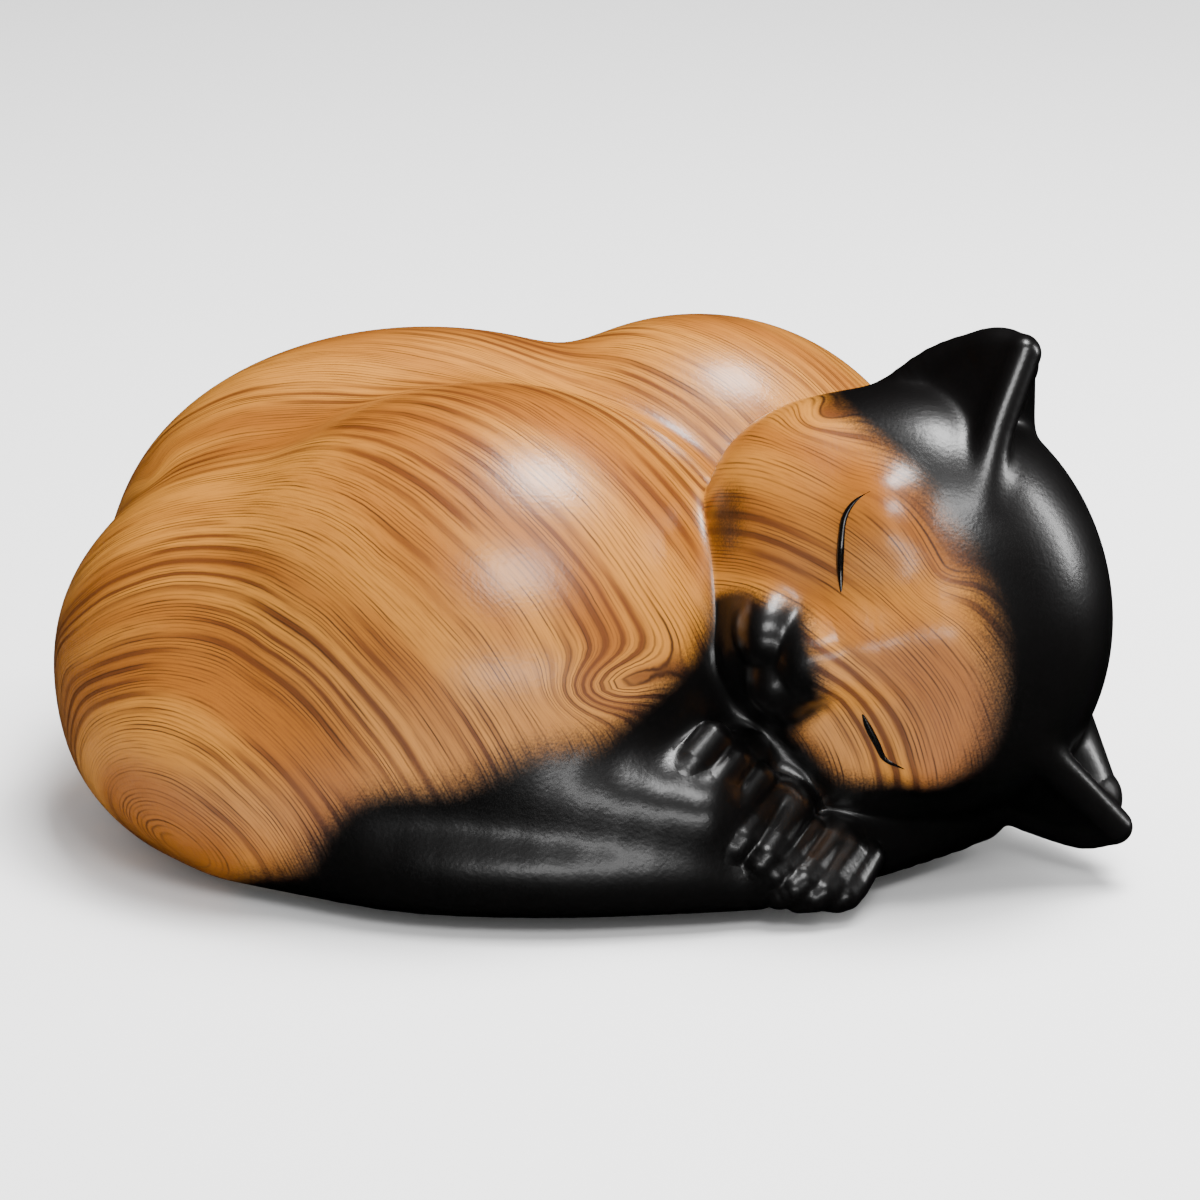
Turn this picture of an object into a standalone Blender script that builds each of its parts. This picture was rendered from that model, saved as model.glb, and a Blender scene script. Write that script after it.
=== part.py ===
"""Sleeping cat figurine in slip-cast ceramic, as the castings and pressings that it is luted together from.

The figure is drawn as rounded masses that run into one another. Each mass is an ellipsoid or a
tapered roll, and a blend gives how far two of them melt together where they meet. A piece starts as
spheres set in its masses, which are fused, relaxed and pressed onto the blended surface. Every piece
is then cut back by its neighbours, grown by the joint's gap, so the pieces follow each other's size.
"""

import math

import bmesh
import bpy
import numpy as np
from mathutils import Matrix, Vector

MM = 0.001

# Overall sizes, in millimetres.
BODY_LENGTH = 256.0
BODY_DEPTH = 182.0
BODY_HEIGHT = 116.0
HEAD_WIDTH = 112.0
HEAD_LENGTH = 96.0
HEAD_DEPTH = 84.0

# How the head lies, in degrees: turned to the figure's flank, lifted, and rolled onto its cheek.
HEAD_TURN = 25.0
HEAD_LIFT = 1.0
HEAD_ROLL = 12.0

# Limbs, in millimetres.
EAR_LENGTH = 37.0
EAR_BASE = 50.0
EAR_TIP = 7.0
TAIL_LENGTH = 128.0
TAIL_THICKNESS = 28.0
HIND_LEG_THICKNESS = 40.0
FORELEG_THICKNESS = 44.0
PAW_THICKNESS = 23.0
CHEEK_REST = 10.0

# Making, in millimetres.
WALL = 5.0
GAP = 0.3
NECK_OPENING = 34.0
BASE_EDGE = 6.0
ROLL_BLEND = 8.0
VENT_DIAMETER = 38.0
PAD_DIAMETER = 16.0
PAD_THICKNESS = 2.0
PAD_INSET = 14.0
BUNG_LIP = 4.0
BUNG_LIP_THICKNESS = 1.2
BUNG_RISE = 4.0
BUNG_HOLLOW = 30.0
BUNG_FLOOR = 2.0

# Size of the facets, in millimetres: coarse on the big castings, finer on small pieces.
CAST_FACET = 12.0
INSIDE_FACET = 17.0
HEAD_FACET = 9.0
LIMB_FACET = 6.5
PAW_FACET = 5.0

# Each mass of the torso: its centre and half sizes as shares of the body's length, depth and
# height, and the blend, in millimetres, by which it runs into the masses before it.
TORSO_MASSES = (
    ((-0.258, 0.000, 0.345), (0.289, 0.363, 0.483), 0.0),  # rump
    ((-0.258, -0.110, 0.259), (0.266, 0.341, 0.362), 16.0),  # low flank
    ((-0.102, -0.110, 0.440), (0.297, 0.363, 0.569), 14.0),  # haunch
    ((-0.172, 0.231, 0.457), (0.328, 0.286, 0.526), 18.0),  # back
    ((0.109, 0.242, 0.474), (0.250, 0.286, 0.534), 12.0),  # shoulder
    ((0.156, 0.000, 0.241), (0.297, 0.363, 0.310), 16.0),  # chest
)

# The head's middle as shares of the body's length and depth; its height comes from what it lies on.
# Its masses: centre and half sizes as shares of its half width, half length and half depth.
HEAD_PLACE = (0.309, -0.209)
HEAD_MASSES = (
    ((0.00, 0.06, -0.14), (1.00, 1.00, 1.00), 0.0),  # skull
    ((-0.04, -0.67, 0.48), (0.50, 0.42, 0.55), 18.0),  # muzzle
    ((0.50, -0.33, 0.10), (0.50, 0.60, 0.71), 14.0),  # upper cheek
    ((-0.50, -0.33, 0.10), (0.50, 0.60, 0.71), 14.0),  # lower cheek
)

# Places as shares of the body: the tail's end, where the neck's opening points, and the vent.
TAIL_END = 0.170
NECK_AIM = (-0.12, 0.06, 0.45)
VENT_PLACE = np.array((-0.06 * BODY_LENGTH, 0.0))

COLOURS = {
    "printed_glaze": ((0.62, 0.34, 0.15), 0.28),
    "black_glaze": ((0.012, 0.011, 0.011), 0.22),
    "bung_rubber": ((0.05, 0.05, 0.05), 0.75),
    "felt": ((0.09, 0.08, 0.075), 0.95),
}


def round_mass(points, centre, half, frame):
    """Distance from an ellipsoid whose axes are the frame's columns."""
    local = (points - centre) @ frame / half
    nearness = np.linalg.norm(local, axis=1)
    slope = np.linalg.norm(local / half, axis=1)
    return nearness * (nearness - 1.0) / np.maximum(slope, 1e-6)


def tapered_roll(points, start, end, start_radius, end_radius):
    """Distance from a roll that tapers from one round end to the other."""
    along = end - start
    share = np.clip((points - start) @ along / (along @ along), 0.0, 1.0)
    centre = start + share[:, None] * along
    radius = start_radius + share * (end_radius - start_radius)
    return np.linalg.norm(points - centre, axis=1) - radius


def run_together(first, second, blend):
    """The two forms joined, melting into each other over the blend."""
    if blend <= 0.0:
        return np.minimum(first, second)
    near = np.maximum(blend - np.abs(first - second), 0.0) / blend
    return np.minimum(first, second) - near**3 * blend / 6.0


def body_point(share):
    return np.array(share) * (BODY_LENGTH, BODY_DEPTH, BODY_HEIGHT)


def head_frame():
    """Columns: towards the upper ear, towards the crown, out of the face."""
    turn, lift, roll = map(math.radians, (HEAD_TURN, HEAD_LIFT, HEAD_ROLL))
    face = Vector((-math.sin(turn) * math.cos(lift), -math.cos(turn) * math.cos(lift), math.sin(lift)))
    crown = Vector((math.cos(roll), 0.0, math.sin(roll)))
    crown = (crown - face * crown.dot(face)).normalized()
    side = crown.cross(face)
    side = side if side.z > 0 else -side
    return np.array([side, crown, face]).T


HEAD_FRAME = head_frame()
UPRIGHT = np.eye(3)


def head_centre():
    """The head's lower cheek rests a little way down in the foreleg."""
    along, across = HEAD_PLACE
    return np.array((along * BODY_LENGTH, across * BODY_DEPTH, CHEEK_REST + HEAD_WIDTH / 2))


def head_point(side, crown, face):
    """A point given in millimetres from the head's centre, in the head's own directions."""
    return head_centre() + HEAD_FRAME @ np.array((side, crown, face))


def torso_masses():
    for centre, half, blend in TORSO_MASSES:
        yield body_point(centre), body_point(half), UPRIGHT, blend


def head_masses():
    size = np.array((HEAD_WIDTH, HEAD_LENGTH, HEAD_DEPTH)) / 2
    for centre, half, blend in HEAD_MASSES:
        yield head_point(*(size * centre)), size * half, HEAD_FRAME, blend


def ear_roll(side):
    """The ear as a tapered roll from low in the skull to its tip. Side is 1 for the upper ear."""
    root = head_point(side * 0.34 * HEAD_WIDTH, 0.19 * HEAD_LENGTH, -0.12 * HEAD_DEPTH)
    reach = HEAD_FRAME @ np.array((side * 0.70, 0.69, 0.10)) * EAR_LENGTH
    return (root, EAR_BASE / 2), (root + 0.5 * reach, EAR_BASE / 3), (root + reach, EAR_TIP / 2)


def tail_roll():
    """The tail round the front of the base, from under the rump to its tip by the paws."""
    front = -0.44 * BODY_DEPTH
    thick = TAIL_THICKNESS / 2
    start = TAIL_END * BODY_LENGTH - TAIL_LENGTH
    return (
        (np.array((start, front + 0.18 * BODY_DEPTH, thick)), 1.25 * thick),
        (np.array((start + 0.27 * TAIL_LENGTH, front + 0.035 * BODY_DEPTH, thick)), 1.1 * thick),
        (np.array((start + 0.56 * TAIL_LENGTH, front, 0.9 * thick)), 0.95 * thick),
        (np.array((start + 0.82 * TAIL_LENGTH, front - 1.0, 0.8 * thick)), 0.8 * thick),
        (np.array((start + TAIL_LENGTH, front, 0.65 * thick)), 0.65 * thick),
    )


def hind_leg_roll():
    """The hind leg folded along the belly, above the tail."""
    thick = HIND_LEG_THICKNESS / 2
    return (
        (body_point((-0.090, -0.330, 0.270)), thick),
        (body_point((-0.020, -0.375, 0.255)), 0.92 * thick),
        (body_point((0.100, -0.405, 0.225)), 0.65 * thick),
    )


def foreleg_roll():
    """The foreleg folded under the chin."""
    thick = FORELEG_THICKNESS / 2
    return (
        (body_point((0.350, -0.165, 0.225)), 1.08 * thick),
        (body_point((0.297, -0.286, 0.172)), 0.92 * thick),
        (body_point((0.240, -0.362, 0.120)), 0.6 * thick),
    )


def upper_forepaw_roll():
    thick = PAW_THICKNESS / 2
    return (
        (body_point((0.165, -0.340, 0.300)), 0.95 * thick),
        (body_point((0.120, -0.400, 0.275)), thick),
        (body_point((0.085, -0.430, 0.215)), 0.7 * thick),
    )


def lower_forepaw_roll():
    thick = PAW_THICKNESS / 2
    return (
        (body_point((0.235, -0.345, 0.260)), 0.95 * thick),
        (body_point((0.185, -0.405, 0.235)), thick),
        (body_point((0.145, -0.430, 0.180)), 0.7 * thick),
    )


def hind_paw_roll():
    thick = PAW_THICKNESS / 2
    return (
        (body_point((0.273, -0.345, 0.155)), 1.05 * thick),
        (body_point((0.225, -0.395, 0.115)), 0.95 * thick),
        (body_point((0.195, -0.425, 0.080)), 0.75 * thick),
    )


def torso_form(points):
    return base_cut(blended(points, torso_masses()), points)


def head_form(points):
    return blended(points, head_masses())


def blended(points, masses):
    form = None
    for centre, half, frame, blend in masses:
        mass = round_mass(points, centre, half, frame)
        form = mass if form is None else run_together(form, mass, blend)
    return form


def roll_form(roll, blend):
    """A form made of the roll's stretches, and cut flat at the base."""

    def form(points):
        stretches = [tapered_roll(points, a, b, ra, rb) for (a, ra), (b, rb) in zip(roll, roll[1:])]
        joined = stretches[0]
        for stretch in stretches[1:]:
            joined = run_together(joined, stretch, blend)
        return base_cut(joined, points)

    return form


def base_cut(form, points):
    """The form cut flat on the base plane, with its lower edge rounded."""
    return -run_together(-form, points[:, 2], BASE_EDGE)


def roll_masses(roll):
    """Spheres along a roll, close enough to fuse."""
    for (start, start_radius), (end, end_radius) in zip(roll, roll[1:]):
        steps = max(2, math.ceil(np.linalg.norm(end - start) / (0.5 * min(start_radius, end_radius))))
        for share in np.linspace(0.0, 1.0, steps):
            radius = start_radius + share * (end_radius - start_radius)
            yield start + share * (end - start), np.full(3, radius), UPRIGHT, 0.0


def press_onto(mesh, form, offset):
    """Moves a mesh's vertices onto the surface that lies the offset outside a form."""
    points = np.empty(len(mesh.vertices) * 3, np.float32)
    mesh.vertices.foreach_get("co", points)
    points = points.reshape(-1, 3).astype(np.float64) / MM
    step = 0.05
    for _ in range(10):
        away = form(points) - offset
        slope = np.stack(
            [(form(points + axis * step) - form(points - axis * step)) / (2 * step) for axis in UPRIGHT],
            axis=1,
        )
        steepness = np.maximum((slope**2).sum(axis=1), 0.05)
        points -= np.clip(away / steepness, -5.0, 5.0)[:, None] * slope
    mesh.vertices.foreach_set("co", (points * MM).astype(np.float32).ravel())
    mesh.update()


def relax(mesh):
    work = bmesh.new()
    work.from_mesh(mesh)
    every_way = {"use_axis_x": True, "use_axis_y": True, "use_axis_z": True}
    bmesh.ops.smooth_vert(work, verts=work.verts, factor=0.5, **every_way)
    work.to_mesh(mesh)
    work.free()


def skin(name, masses, form, facet, offset=0.0):
    """A closed mesh on a form's surface, or the offset outside it."""
    work = bmesh.new()
    for centre, half, frame, _ in masses:
        place = Matrix.Translation(centre * MM) @ Matrix(frame).to_4x4()
        place = place @ Matrix.Diagonal((*((half + offset) * MM), 1.0))
        bmesh.ops.create_icosphere(work, subdivisions=3, radius=1.0, matrix=place)
    rough = bpy.data.meshes.new(name)
    work.to_mesh(rough)
    work.free()
    piece = bpy.data.objects.new(name, rough)
    CUTTERS.objects.link(piece)
    fuse = piece.modifiers.new("Fuse", "REMESH")
    fuse.mode = "VOXEL"
    fuse.voxel_size = facet * MM
    graph = bpy.context.evaluated_depsgraph_get()
    piece.data = bpy.data.meshes.new_from_object(piece.evaluated_get(graph))
    piece.modifiers.clear()
    bpy.data.meshes.remove(rough)
    for _ in range(3):
        press_onto(piece.data, form, offset)
        relax(piece.data)
    press_onto(piece.data, form, offset)
    triangles = bmesh.new()
    triangles.from_mesh(piece.data)
    bmesh.ops.triangulate(triangles, faces=triangles.faces)
    bmesh.ops.recalc_face_normals(triangles, faces=triangles.faces)
    triangles.to_mesh(piece.data)
    triangles.free()
    piece.data.name = name
    piece.hide_render = True
    piece.display_type = "WIRE"
    return piece


def clearance(piece, form):
    """A cutter in the shape of a finished skin, grown by the joint's gap."""
    cutter = bpy.data.objects.new(piece.name + "_clearance", piece.data.copy())
    CUTTERS.objects.link(cutter)
    press_onto(cutter.data, form, GAP)
    cutter.hide_render = True
    cutter.display_type = "WIRE"
    return cutter


def turned(name, profile, steps):
    """A closed turned piece on the Z axis, from (radius, height) points that run down its outside."""
    work = bmesh.new()
    corners = [work.verts.new((radius * MM, 0.0, height * MM)) for radius, height in profile]
    for upper, lower in zip(corners, corners[1:]):
        work.edges.new((upper, lower))
    outline = bpy.data.meshes.new(name)
    work.to_mesh(outline)
    work.free()
    piece = bpy.data.objects.new(name, outline)
    CUTTERS.objects.link(piece)
    piece.hide_render = True
    piece.display_type = "WIRE"
    turn = piece.modifiers.new("Turn", "SCREW")
    turn.axis = "Z"
    turn.steps = turn.render_steps = steps
    turn.use_merge_vertices = True
    turn.merge_threshold = 0.00001
    return piece


def cylinder(name, radius, low, high, steps):
    return turned(name, ((0.0, high), (radius, high), (radius, low), (0.0, low)), steps)


def cut(piece, *cutters):
    for cutter in cutters:
        knife = piece.modifiers.new("Cut by " + cutter.name, "BOOLEAN")
        knife.operation = "DIFFERENCE"
        knife.object = cutter


def material(name):
    colour, roughness = COLOURS[name]
    made = bpy.data.materials.new(name)
    made.use_nodes = True
    shader = made.node_tree.nodes["Principled BSDF"]
    shader.inputs["Base Color"].default_value = (*colour, 1.0)
    shader.inputs["Roughness"].default_value = roughness
    shader.inputs["Metallic"].default_value = 0.0
    return made


def finish(piece, name, made_of):
    """Makes a skin, or a copy of it, one of the figure's visible pieces."""
    piece.name = name
    for holder in list(piece.users_collection):
        holder.objects.unlink(piece)
    FIGURE.objects.link(piece)
    piece.hide_render = False
    piece.display_type = "TEXTURED"
    piece.data.materials.clear()
    piece.data.materials.append(MATERIALS[made_of])
    piece.data.shade_smooth()
    return piece


def torso_casting(casting, head_clearance):
    """The body: a hollow casting with a flat base, a vent in it, and a saddle for the head."""
    hollow = skin("torso_hollow", torso_masses(), torso_form, INSIDE_FACET, -WALL)
    vent = cylinder("vent", VENT_DIAMETER / 2, -WALL, 3 * WALL, 40)
    vent.location = (*(VENT_PLACE * MM), 0.0)
    cut(casting, hollow, head_clearance, vent)
    return finish(casting, "torso_casting", "printed_glaze")


def head_casting(casting):
    """The head: a hollow casting that is open at the neck, where it sits inside the torso."""
    hollow = skin("head_hollow", head_masses(), head_form, INSIDE_FACET, -WALL)
    centre = Vector(head_centre())
    neck = Vector(body_point(NECK_AIM)) - centre
    opening = cylinder("neck_opening", NECK_OPENING / 2, 0.0, 0.8 * HEAD_WIDTH, 32)
    opening.matrix_world = Matrix.Translation(centre * MM) @ neck.to_track_quat("Z", "Y").to_matrix().to_4x4()
    cut(casting, hollow, opening)
    return finish(casting, "head_casting", "printed_glaze")


def pressing(name, roll, blend, facet, neighbours):
    """A solid roll, cut back by the pieces that it is luted to. Returns the room that it takes up."""
    form = roll_form(roll, blend)
    piece = skin(name, roll_masses(roll), form, facet)
    room = clearance(piece, form)
    cut(piece, *neighbours)
    finish(piece, name, "black_glaze")
    return room


def pad_places():
    """Where the four felt pads sit: inside the base's edge, on its two diagonals."""
    for side, end in ((-1, -1), (1, -1), (-1, 1), (1, 1)):
        yield np.array((
            -0.09 * BODY_LENGTH + side * (0.26 * BODY_LENGTH - PAD_INSET),
            end * (0.29 * BODY_DEPTH - PAD_INSET),
        ))


def felt_pads():
    radius = PAD_DIAMETER / 2
    for number, place in enumerate(pad_places(), start=1):
        pad = cylinder(f"felt_pad_{number}", radius, -PAD_THICKNESS - GAP, -GAP, 24)
        pad.location = (*(place * MM), 0.0)
        finish(pad, pad.name, "felt")


def base_bung():
    """A soft bung in the vent: a lip under the base, and a cupped plug that grips in the hole."""
    waist = VENT_DIAMETER / 2 - GAP
    lip = VENT_DIAMETER / 2 + BUNG_LIP
    well = BUNG_HOLLOW / 2
    top = WALL + BUNG_RISE
    sole = -GAP - BUNG_LIP_THICKNESS
    bung = turned(
        "base_bung",
        (
            (0.0, BUNG_FLOOR),
            (well, BUNG_FLOOR),
            (well, top),
            (waist, top),
            (waist, -GAP),
            (lip, -GAP),
            (lip, sole),
            (0.0, sole),
        ),
        40,
    )
    bung.location = (*(VENT_PLACE * MM), 0.0)
    return finish(bung, "base_bung", "bung_rubber")


def stand_on_origin():
    """Moves the figure so that its origin is under the middle of its box, on the pads' soles."""
    graph = bpy.context.evaluated_depsgraph_get()
    corners = []
    for piece in FIGURE.objects:
        ready = piece.evaluated_get(graph)
        corners += [ready.matrix_world @ Vector(corner) for corner in ready.bound_box]
    low = Vector(min(corner[axis] for corner in corners) for axis in range(3))
    high = Vector(max(corner[axis] for corner in corners) for axis in range(3))
    stand = bpy.data.objects.new("figure_origin", None)
    FIGURE.objects.link(stand)
    stand.location = (-(low.x + high.x) / 2, -(low.y + high.y) / 2, -low.z)
    for piece in list(FIGURE.objects) + list(CUTTERS.objects):
        if piece is not stand:
            piece.parent = stand


for old in list(bpy.data.objects):
    bpy.data.objects.remove(old, do_unlink=True)
FIGURE = bpy.data.collections.new("cat_figurine")
CUTTERS = bpy.data.collections.new("cutters")
bpy.context.scene.collection.children.link(FIGURE)
bpy.context.scene.collection.children.link(CUTTERS)
MATERIALS = {name: material(name) for name in COLOURS}

head = skin("head_casting", head_masses(), head_form, HEAD_FACET)
torso = skin("torso_casting", torso_masses(), torso_form, CAST_FACET)
taken = [clearance(head, head_form), clearance(torso, torso_form)]
head_casting(head)
torso_casting(torso, taken[0])
for name, roll, facet in (
    ("ear_right", ear_roll(1), LIMB_FACET),
    ("foreleg", foreleg_roll(), LIMB_FACET),
    ("ear_left", ear_roll(-1), LIMB_FACET),
    ("hind_leg", hind_leg_roll(), LIMB_FACET),
    ("tail", tail_roll(), LIMB_FACET),
    ("hind_paw", hind_paw_roll(), PAW_FACET),
    ("forepaw_left", lower_forepaw_roll(), PAW_FACET),
    ("forepaw_right", upper_forepaw_roll(), PAW_FACET),
):
    taken.append(pressing(name, roll, ROLL_BLEND, facet, list(taken)))
base_bung()
felt_pads()
stand_on_origin()
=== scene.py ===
import math

import bmesh
import bpy
import numpy as np
from mathutils import Matrix, Vector


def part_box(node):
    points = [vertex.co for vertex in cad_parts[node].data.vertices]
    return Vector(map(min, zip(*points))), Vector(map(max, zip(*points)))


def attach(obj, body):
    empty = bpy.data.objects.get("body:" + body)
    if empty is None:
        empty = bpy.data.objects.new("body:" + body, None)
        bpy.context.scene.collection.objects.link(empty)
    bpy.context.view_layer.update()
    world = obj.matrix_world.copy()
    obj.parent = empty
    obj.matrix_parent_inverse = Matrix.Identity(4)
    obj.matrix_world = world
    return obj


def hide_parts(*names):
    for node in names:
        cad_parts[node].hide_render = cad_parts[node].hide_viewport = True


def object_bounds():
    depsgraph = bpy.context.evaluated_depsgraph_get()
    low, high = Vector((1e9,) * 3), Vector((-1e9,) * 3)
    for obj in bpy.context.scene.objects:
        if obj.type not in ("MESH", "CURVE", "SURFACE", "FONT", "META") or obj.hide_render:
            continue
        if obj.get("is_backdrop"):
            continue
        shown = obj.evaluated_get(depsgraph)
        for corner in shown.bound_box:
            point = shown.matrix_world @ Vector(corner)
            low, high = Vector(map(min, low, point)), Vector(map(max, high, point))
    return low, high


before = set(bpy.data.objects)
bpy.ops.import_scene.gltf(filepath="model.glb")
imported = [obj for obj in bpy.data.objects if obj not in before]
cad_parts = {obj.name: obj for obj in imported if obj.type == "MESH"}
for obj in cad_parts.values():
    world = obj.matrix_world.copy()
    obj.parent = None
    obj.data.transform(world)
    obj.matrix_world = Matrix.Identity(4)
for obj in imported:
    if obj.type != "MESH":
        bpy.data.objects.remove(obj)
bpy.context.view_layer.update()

# ---------------------------------------------------------------------------------------------
# The maker's bench. The figure is drawn in millimetres from a bench mark on the plane that its
# base is ground flat on. The rubber bung in the base and the torso's sole say where that mark is.
MM = 0.001
VENT_FROM_MARK = -15.36
vent_low, vent_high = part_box("base_bung")
torso_low, torso_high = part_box("torso_casting")
MARK = np.array((
    (vent_low.x + vent_high.x) / 2 / MM - VENT_FROM_MARK,
    (vent_low.y + vent_high.y) / 2 / MM,
    torso_low.z / MM,
))


def on_bench(point):
    """A bench point in millimetres, in the scene's metres."""
    return Vector((np.array(point, float) + MARK) * MM)


# ---------------------------------------------------------------------------------------------
# The clay master. A slip-cast figure starts as a clay master, built from lumps and rolls that are
# pressed together and smoothed. A form is the distance to its surface, negative inside the clay.
def lump(points, centre, half, axes=None):
    """An egg-shaped lump of clay, with its half sizes along its axes."""
    local = points - np.array(centre, float)
    if axes is not None:
        local = local @ axes
    local = local / half
    nearness = np.linalg.norm(local, axis=1)
    slope = np.linalg.norm(local / half, axis=1)
    return nearness * (nearness - 1.0) / np.maximum(slope, 1e-6)


def roll(points, joints, melt):
    """A rolled coil through (centre, radius) joints, bent smoothly over the melt."""
    form = None
    for (start, start_radius), (end, end_radius) in zip(joints, joints[1:]):
        start, end = np.array(start, float), np.array(end, float)
        along = end - start
        share = np.clip((points - start) @ along / (along @ along), 0.0, 1.0)
        centre = start + share[:, None] * along
        radius = start_radius + share * (end_radius - start_radius)
        stretch = np.linalg.norm(points - centre, axis=1) - radius
        form = stretch if form is None else press_together(form, stretch, melt)
    return form


def bent(joints, cuts=4):
    """The joints of a coil with more between them, along a smooth bend."""
    knots = np.array([(*centre, radius) for centre, radius in joints], float)
    knots = np.vstack([2 * knots[0] - knots[1], knots, 2 * knots[-1] - knots[-2]])
    smooth = []
    for before, start, end, after in zip(knots, knots[1:], knots[2:], knots[3:]):
        for share in np.arange(cuts) / cuts:
            bend = (2 * before - 5 * start + 4 * end - after) * share**2
            twist = (3 * start - before - 3 * end + after) * share**3
            smooth.append((2 * start + (end - before) * share + bend + twist) / 2)
    smooth.append(knots[-2])
    return [(knot[:3], knot[3]) for knot in smooth]


def coil(points, joints, cuts=4):
    """A coil that bends and tapers smoothly through its joints."""
    form = None
    for (start, start_radius), (end, end_radius) in zip(bent(joints, cuts), bent(joints, cuts)[1:]):
        along = end - start
        share = np.clip((points - start) @ along / (along @ along), 0.0, 1.0)
        stretch = np.linalg.norm(points - start - share[:, None] * along, axis=1)
        stretch -= start_radius + share * (end_radius - start_radius)
        form = stretch if form is None else np.minimum(form, stretch)
    return form


def press_together(first, second, melt):
    """Two forms smoothed into each other over the melt, in millimetres."""
    near = np.maximum(melt - np.abs(first - second), 0.0) / melt
    return np.minimum(first, second) - near**3 * melt / 6.0


def scoop(clay, tool, melt):
    """The clay with a tool's shape scooped out, its edge softened over the melt."""
    return -press_together(-clay, tool, melt)


# ---------------------------------------------------------------------------------------------
# Torso. The sleeping body, one big casting: rump, flank, haunch, back, shoulder and chest lie
# side by side like cushions, with soft valleys between them. Its sole is ground flat.
BASE_EDGE = 6.0
# Each lump's middle and half sizes, and the melt that joins it to those before it.
TORSO_LUMPS = (
    ((-66, 0, 40), (74, 66, 56), 1.0),  # rump
    ((-66, -20, 30), (68, 62, 42), 16.0),  # low flank
    ((-27, -20, 51), (74.5, 66, 66), 14.0),  # haunch
    ((-44, 42, 53), (84, 52, 61), 18.0),  # back
    ((28, 44, 55), (64, 52, 62), 12.0),  # shoulder
    ((40, 0, 28), (76, 66, 36), 16.0),  # chest
)


def torso_clay(points):
    form = None
    for centre, half, melt in TORSO_LUMPS:
        clay = lump(points, centre, half)
        form = clay if form is None else press_together(form, clay, melt)
    return form


# ---------------------------------------------------------------------------------------------
# Head. A second casting, laid on its cheek with the face turned out. It is drawn in its own
# directions: side runs to the upper ear, crown to the top of the head, face out of the nose.
HEAD_TURN = math.radians(25)
HEAD_LIFT = math.radians(1)
HEAD_ROLL = math.radians(12)
HEAD_CENTRE = np.array((79.0, -38.0, 66.0))


def head_directions():
    face = np.array((
        -math.sin(HEAD_TURN) * math.cos(HEAD_LIFT),
        -math.cos(HEAD_TURN) * math.cos(HEAD_LIFT),
        math.sin(HEAD_LIFT),
    ))
    crown = np.array((math.cos(HEAD_ROLL), 0.0, math.sin(HEAD_ROLL)))
    crown -= face * (crown @ face)
    crown /= np.linalg.norm(crown)
    return np.array([np.cross(face, crown), crown, face]).T


HEAD = head_directions()


def head_at(side, crown, face):
    """The bench point of a place on the head."""
    return HEAD_CENTRE + HEAD @ np.array((side, crown, face), float)


def head_lump(points, place, half):
    return lump(points, head_at(*place), half, HEAD)


# The skull with its cheeks, the broad muzzle, the jaw, and the ridge from forehead to nose. Each
# is a place and half sizes in the head's directions, and the melt that joins it to the rest.
SKULL = ((0, 3, -5), (56, 48, 42))
CHEEK = ((28, -16, 4), (28, 29, 30), 14.0)
MUZZLE = ((0.5, -18, 18), (27, 20, 25), 14.0)
JAW = ((2, -32, 14), (30, 18, 24), 12.0)
NOSE_RIDGE = (((0, 16, 20), 17.0), ((0.5, 2, 29), 13.5), ((1, -6, 35.5), 11.0))
RIDGE_BEND = 4.0
RIDGE_MELT = 9.0
# The closed eyes: a lid swollen over each eyeball, and the hollow beside the nose.
EYELID = ((26, 10, 23.5), (15, 12, 11), 9.0)
TEAR_HOLLOW = ((18, -9, 46), (8, 9, 8), 10.0)
# The snout: nose, two whisker pads and the chin, with narrow creases between them.
NOSE = ((0, -10.5, 39.0), (10.5, 7, 9.5))
WHISKER_PAD = ((6.0, -19, 38), (9.5, 8.2, 11.6))
SNOUT_MIDDLE = 1.5
CHIN = ((2, -30, 33), (8.5, 6, 9))
SNOUT_CREASE = 3.0
SNOUT_MELT = 9.0


def mirrored(place, side):
    return (side * place[0], *place[1:])


def snout_clay(points):
    place, half = WHISKER_PAD
    upper = head_lump(points, (SNOUT_MIDDLE + place[0], *place[1:]), half)
    lower = head_lump(points, (SNOUT_MIDDLE - place[0], *place[1:]), half)
    pads = press_together(upper, lower, SNOUT_CREASE)
    pads = press_together(pads, head_lump(points, *CHIN), SNOUT_CREASE)
    return press_together(head_lump(points, *NOSE), pads, SNOUT_CREASE)


def head_clay(points):
    form = head_lump(points, *SKULL)
    for side in (-1, 1):
        cheek = head_lump(points, mirrored(CHEEK[0], side), CHEEK[1])
        form = press_together(form, cheek, CHEEK[2])
    form = press_together(form, head_lump(points, *MUZZLE[:2]), MUZZLE[2])
    form = press_together(form, head_lump(points, *JAW[:2]), JAW[2])
    ridge = [(head_at(*place), radius) for place, radius in NOSE_RIDGE]
    form = press_together(form, roll(points, ridge, RIDGE_BEND), RIDGE_MELT)
    for side in (-1, 1):
        lid = head_lump(points, mirrored(EYELID[0], side), EYELID[1])
        hollow = head_lump(points, mirrored(TEAR_HOLLOW[0], side), TEAR_HOLLOW[1])
        form = scoop(press_together(form, lid, EYELID[2]), hollow, TEAR_HOLLOW[2])
    return press_together(form, snout_clay(points), SNOUT_MELT)


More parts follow.
